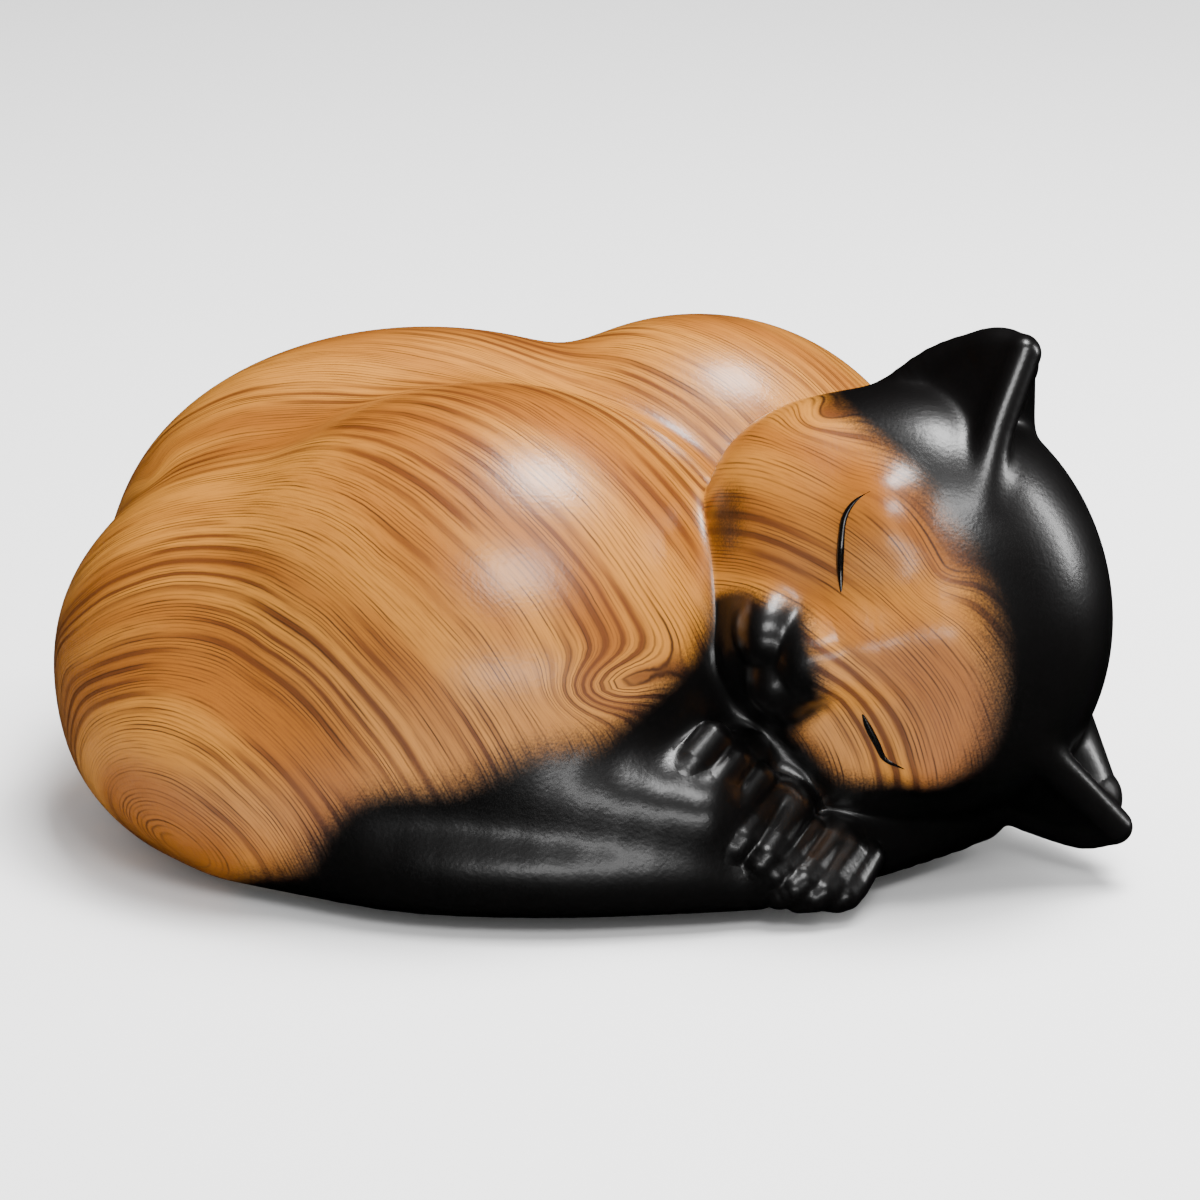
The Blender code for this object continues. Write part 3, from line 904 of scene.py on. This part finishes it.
def pour_out(torso):
    """Leaves the casting hollow, and opens the vent into the hollow."""
    balls = [(centre, np.array(half, float) - WALL, np.eye(3)) for centre, half, _ in TORSO_LUMPS]
    hollow = rough_out("torso_hollow", balls, HOLLOW_FACET)
    press_onto(hollow.data, hollow_form, 8)
    mouth = VENT_RADIUS + VENT_CHAMFER
    above = 3 * WALL
    profile = (
        (0, -BELOW_SOLE),
        (mouth + BELOW_SOLE, -BELOW_SOLE),
        (mouth, 0),
        (VENT_RADIUS, VENT_CHAMFER),
        (VENT_RADIUS, above),
        (0, above),
    )
    vent = spun("vent_cutter", profile)
    for tool in (hollow, vent):
        cut = torso.modifiers.new("Cut", "BOOLEAN")
        cut.operation = "DIFFERENCE"
        cut.solver = "MANIFOLD"
        cut.object = tool
    graph = bpy.context.evaluated_depsgraph_get()
    solid = torso.data
    torso.data = bpy.data.meshes.new_from_object(torso.evaluated_get(graph))
    torso.modifiers.clear()
    for mesh in (solid, hollow.data, vent.data):
        bpy.data.meshes.remove(mesh)
    clay = bmesh.new()
    clay.from_mesh(torso.data)
    bmesh.ops.triangulate(clay, faces=clay.faces)
    clay.to_mesh(torso.data)
    clay.free()


balls = [(centre, half, np.eye(3)) for centre, half, _ in TORSO_LUMPS]
torso = cast("torso_casting", balls, TORSO_FACET, [near_joint("torso_casting", TORSO_JOINT)])
pour_out(torso)
coat(torso, "torso_casting", torso_grain, airbrush, LIMB_BRUSHING)


# ---------------------------------------------------------------------------------------------
# Head casting: a second casting, luted into a saddle in the torso. Its inside never shows, so only
# its outside is modelled. The snout is sharpened with a tool before firing, so it is split finest.
HEAD_FACET = 1.1
SNOUT_PLACE = (SNOUT_MIDDLE, -18, 40)
SNOUT_REACH = 25.0


def near_snout(points):
    return np.linalg.norm(points - head_at(*SNOUT_PLACE), axis=1) < SNOUT_REACH


head_lumps = [SKULL, MUZZLE[:2], JAW[:2]]
head_lumps += [(mirrored(CHEEK[0], side), CHEEK[1]) for side in (-1, 1)]
head_lumps += [NOSE, CHIN]
head_lumps += [(mirrored(WHISKER_PAD[0], side), WHISKER_PAD[1]) for side in (-1, 1)]
balls = [(head_at(*place), half, HEAD) for place, half in head_lumps]
balls += balls_along([(head_at(*place), radius) for place, radius in NOSE_RIDGE])
head = cast("head_casting", balls, HEAD_FACET, [near_snout])
coat(head, "head_casting", head_grain, head_spray_and_painted_shade)


# ---------------------------------------------------------------------------------------------
# Ears: solid pressed leaves, luted on behind the forehead and sprayed black all over.
EAR_FACET = 0.8
SHEET_STEPS = 6


def all_black(points, forms):
    return np.ones(len(points))


def balls_over(corners, radius):
    """Balls all over a three-cornered sheet."""
    first, second, third = corners
    for i in range(SHEET_STEPS + 1):
        for j in range(SHEET_STEPS + 1 - i):
            across, along = (second - first) * i / SHEET_STEPS, (third - first) * j / SHEET_STEPS
            yield first + across + along, (radius, radius, radius), np.eye(3)


for name in EARS:
    balls = [ball for joints in ear_coils(name) for ball in balls_along(joints)]
    balls += [ball for corners in ear_sheets(name) for ball in balls_over(corners, EAR_SHEET)]
    coat(cast(name, balls, EAR_FACET), name, head_grain, all_black)


# ---------------------------------------------------------------------------------------------
# Tail and legs: coils rolled by hand on the bench and luted on. They are sprayed black, which
# leaves the film bare at the tail's root and on the top of the hind leg.
LIMB_FACET = 1.3
LIMB_JOINT = 2.5
LIMBS = {
    "tail": (TAIL, airbrush),
    "hind_leg": (HIND_LEG, airbrush),
    "foreleg": (FORELEG, all_black),
}
for name, (joints, spray) in LIMBS.items():
    limb = cast(name, balls_along(bent(joints)), LIMB_FACET, [near_joint(name, LIMB_JOINT)])
    coat(limb, name, torso_grain, spray, LIMB_BRUSHING)


# ---------------------------------------------------------------------------------------------
# Paws: black, with the creases between the toes pressed in, which wants the finest skin.
PAW_FACET = 0.7
PAWS = {"forepaw_right": FOREPAW_RIGHT, "forepaw_left": FOREPAW_LEFT, "hind_paw": HIND_PAW}
for name, paw in PAWS.items():
    balls = [ball for joints in paw for ball in balls_along(bent(joints, 3))]
    coat(cast(name, balls, PAW_FACET), name, torso_grain, all_black)


# ---------------------------------------------------------------------------------------------
# Eyelid lines: the slit of each closed eye is a bead of glossy black enamel, laid on with a fine
# brush that swells in the middle of its stroke, and sunk a little between the lid and the cheek.
LID_LINES = {
    "upper_eyelid_line": (
        ((15.5, 0.7), 0.3), ((20.7, 1.0), 1.0), ((26.1, 2.1), 1.1),
        ((32.7, 3.8), 0.95), ((36.4, 6.7), 0.6), ((38.4, 10.9), 0.2),
    ),
    "lower_eyelid_line": (
        ((-16.4, -0.5), 0.4), ((-19.8, -0.1), 1.0), ((-24.5, 1.1), 1.05),
        ((-28.8, 2.1), 0.8), ((-31.1, 5.7), 0.4), ((-33.1, 10.0), 0.2),
    ),
}
LID_SINK = 0.25
ENAMEL_FACET = 0.16
NEAREST_FACE = 70.0
FACE_STEP = 0.05


def on_head(side, crown):
    """The bench point where the head's face side lies over a place."""
    faces = np.arange(NEAREST_FACE, 0.0, -FACE_STEP)
    line = np.array([head_at(side, crown, face) for face in faces])
    return line[np.argmax(figure_forms(line)[1] < 0.0)]


# Black enamel, brushed on thick: it is as smooth as glass, so its highlights are small and sharp.
def black_enamel():
    made, tree, shader, bench = new_material("brushed_black_enamel")
    shader.inputs["Base Color"].default_value = linear("#0A0908")
    flow = add_node(tree, "ShaderNodeTexNoise", {"Scale": 1 / 2.5, "Detail": 2.0}, {"Vector": bench})
    gloss = add_node(tree, "ShaderNodeMapRange", {"To Min": 0.10, "To Max": 0.20}, {"Value": flow})
    tree.links.new(gloss.outputs[0], shader.inputs["Roughness"])
    return made


BLACK_ENAMEL = black_enamel()
for name, stroke in LID_LINES.items():
    brushed = bent([(on_head(*place) - LID_SINK * HEAD[:, 2], radius) for place, radius in stroke])
    line = rough_out(name, balls_along(brushed), ENAMEL_FACET)
    press_onto(line.data, lambda points: coil(points, brushed, 1), 3)
    set_points(line.data, (points_of(line.data) + MARK) * MM)
    line.data.shade_smooth()
    line.data.materials.append(BLACK_ENAMEL)
    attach(line, "figure")


# ---------------------------------------------------------------------------------------------
# Bung: a soft moulded rubber cup pushed into the vent, with a thin lip that lies under the sole and
# two low grip rings on its plug. Its underside is dished, with a moulded ring to pull it by.
BUNG_PROFILE = (
    (0.0, 2.0), (13.6, 2.0), (15.0, 3.4), (15.2, 8.5), (15.8, 9.0), (17.2, 9.0), (17.9, 8.3),
    (18.2, 6.6), (18.65, 6.0), (18.65, 5.4), (18.2, 4.8), (18.2, 3.4), (18.65, 2.8), (18.65, 2.2),
    (18.2, 1.6), (18.3, -0.3), (22.4, -0.3), (23.0, -0.6), (22.9, -1.2), (22.2, -1.5), (20.6, -1.5),
    (19.8, -1.1), (11.6, -0.9), (11.0, -1.5), (9.4, -1.5), (8.8, -0.9), (0.0, -0.9),
)


# Moulded black nitrile rubber: matt, with a fine bloom that greys it in patches.
def moulded_rubber():
    made, tree, shader, bench = new_material("moulded_black_rubber")
    bloom = add_node(tree, "ShaderNodeTexNoise", {"Scale": 1 / 6, "Detail": 4.0}, {"Vector": bench})
    mixed = add_node(tree, "ShaderNodeMix", {"data_type": "RGBA"}, {0: bloom})
    mixed.inputs[6].default_value = linear("#1B1B1C")
    mixed.inputs[7].default_value = linear("#2C2B2A")
    tree.links.new(mixed.outputs[2], shader.inputs["Base Color"])
    skin = add_node(tree, "ShaderNodeTexNoise", {"Scale": 1 / 0.4, "Detail": 2.0}, {"Vector": bench})
    bump = add_node(tree, "ShaderNodeBump", {"Strength": 0.3, "Distance": 0.00005}, {"Height": skin})
    tree.links.new(bump.outputs[0], shader.inputs["Normal"])
    shader.inputs["Roughness"].default_value = 0.62
    return made


bung = spun("moulded_base_bung", BUNG_PROFILE)
set_points(bung.data, (points_of(bung.data) + MARK) * MM)
bung.data.materials.append(moulded_rubber())
bung.data.shade_smooth()
bung.data.set_sharp_from_angle(angle=SHARP)
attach(bung, "bung")
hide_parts("base_bung")


# ---------------------------------------------------------------------------------------------
# Felt pads: four punched discs of pressed wool felt with a glued back, stuck to the sole near its
# edge. A punched edge is slightly rounded and hairy.
PAD_THICK = 2.28
PAD_EDGE = 0.5
PAD_SHARP = math.radians(50)


# Pressed wool felt: matted fibres about a third of a millimetre apart, drawn a little coarser.
def wool_felt():
    made, tree, shader, bench = new_material("pressed_wool_felt")
    settings = {"Scale": 1 / 0.5, "Detail": 5.0, "Distortion": 1.5}
    fibres = add_node(tree, "ShaderNodeTexNoise", settings, {"Vector": bench})
    mixed = add_node(tree, "ShaderNodeMix", {"data_type": "RGBA"}, {0: fibres})
    mixed.inputs[6].default_value = linear("#3A2F27")
    mixed.inputs[7].default_value = linear("#6A594B")
    tree.links.new(mixed.outputs[2], shader.inputs["Base Color"])
    bump = add_node(tree, "ShaderNodeBump", {"Strength": 0.8, "Distance": 0.0003}, {"Height": fibres})
    tree.links.new(bump.outputs[0], shader.inputs["Normal"])
    shader.inputs["Roughness"].default_value = 0.95
    shader.inputs["Sheen Weight"].default_value = 0.4
    return made


WOOL_FELT = wool_felt()
for number in (1, 2, 3, 4):
    low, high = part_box(f"felt_pad_{number}")
    radius = (high.x - low.x) / 2
    clay = bmesh.new()
    disc = {"radius1": radius, "radius2": radius, "depth": PAD_THICK * MM}
    bmesh.ops.create_cone(clay, cap_ends=True, segments=64, **disc)
    rims = [edge for edge in clay.edges if abs(edge.verts[0].co.z - edge.verts[1].co.z) < 1e-6]
    rounding = {"offset": PAD_EDGE * MM, "segments": 4, "profile": 0.5}
    bmesh.ops.bevel(clay, geom=rims, affect="EDGES", material=-1, **rounding)
    middle = Vector(((low.x + high.x) / 2, (low.y + high.y) / 2, low.z + PAD_THICK * MM / 2))
    bmesh.ops.translate(clay, verts=clay.verts, vec=middle)
    mesh = bpy.data.meshes.new(f"punched_felt_pad_{number}")
    clay.to_mesh(mesh)
    clay.free()
    pad = bpy.data.objects.new(mesh.name, mesh)
    bpy.context.scene.collection.objects.link(pad)
    mesh.shade_smooth()
    mesh.set_sharp_from_angle(angle=PAD_SHARP)
    mesh.materials.append(WOOL_FELT)
    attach(pad, "figure")
    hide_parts(f"felt_pad_{number}")


# ---------------------------------------------------------------------------------------------
# The setting: a matt white sheet of paper, soft boxes in a white room, and the camera. The lacquer
# mirrors neither the paper nor the room, which keeps the black deep.
FLOOR_HALF = 3.0
clay = bmesh.new()
bmesh.ops.create_grid(clay, x_segments=1, y_segments=1, size=FLOOR_HALF)
mesh = bpy.data.meshes.new("floor")
clay.to_mesh(mesh)
clay.free()
floor = bpy.data.objects.new("floor", mesh)
bpy.context.scene.collection.objects.link(floor)


# Matt white paper backdrop.
def backdrop_paper():
    made, _, shader, _ = new_material("matt_backdrop_paper")
    shader.inputs["Base Color"].default_value = linear("#F4F4F4")
    shader.inputs["Roughness"].default_value = 0.9
    return made


mesh.materials.append(backdrop_paper())
floor.visible_glossy = False
floor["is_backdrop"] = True

world = bpy.data.worlds.new("studio")
bpy.context.scene.world = world
world.use_nodes = True
room = world.node_tree.nodes["Background"]
room.inputs["Color"].default_value = linear("#FFFFFF")
room.inputs["Strength"].default_value = 0.62
world.cycles_visibility.glossy = False

AIM = on_bench((2, 0, 54.5))
# Soft boxes: place from the aim point in metres, width, height, power in watts, and whether the
# lacquer mirrors it. The broad light is a fill that no reflection shows, which no real lamp does,
# so that only the small ones leave highlights.
SOFT_BOXES = {
    "overhead_fill": ((0.25, 0.05, 1.10), 0.90, 0.70, 38.0, False),
    "overhead_soft_box": ((0.26, 0.12, 1.05), 0.34, 0.28, 9.0, True),
    "key_soft_box": ((0.24, -0.92, 1.05), 0.55, 0.40, 9.0, True),
    "right_strip_box": ((1.10, 0.10, 0.42), 0.15, 0.60, 6.0, True),
    "front_strip_box": ((0.20, -1.50, 0.15), 0.80, 0.14, 4.0, True),
}
for name, (place, width, height, power, mirrored_in_lacquer) in SOFT_BOXES.items():
    light = bpy.data.lights.new(name, "AREA")
    light.shape = "RECTANGLE"
    light.size, light.size_y, light.energy = width, height, power
    lamp = bpy.data.objects.new(name, light)
    bpy.context.scene.collection.objects.link(lamp)
    lamp.location = AIM + Vector(place)
    lamp.rotation_euler = (-Vector(place)).to_track_quat("-Z", "Y").to_euler()
    lamp.visible_glossy = mirrored_in_lacquer

DISTANCE = 1.3
CAMERA_LIFT = math.radians(20)
lens = bpy.data.cameras.new("camera")
lens.lens, lens.sensor_width = 150, 36
camera = bpy.data.objects.new("camera", lens)
bpy.context.scene.collection.objects.link(camera)
back = Vector((0.0, -math.cos(CAMERA_LIFT), math.sin(CAMERA_LIFT)))
camera.location = AIM + DISTANCE * back
camera.rotation_euler = (-back).to_track_quat("-Z", "Y").to_euler()
bpy.context.scene.camera = camera

low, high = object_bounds()
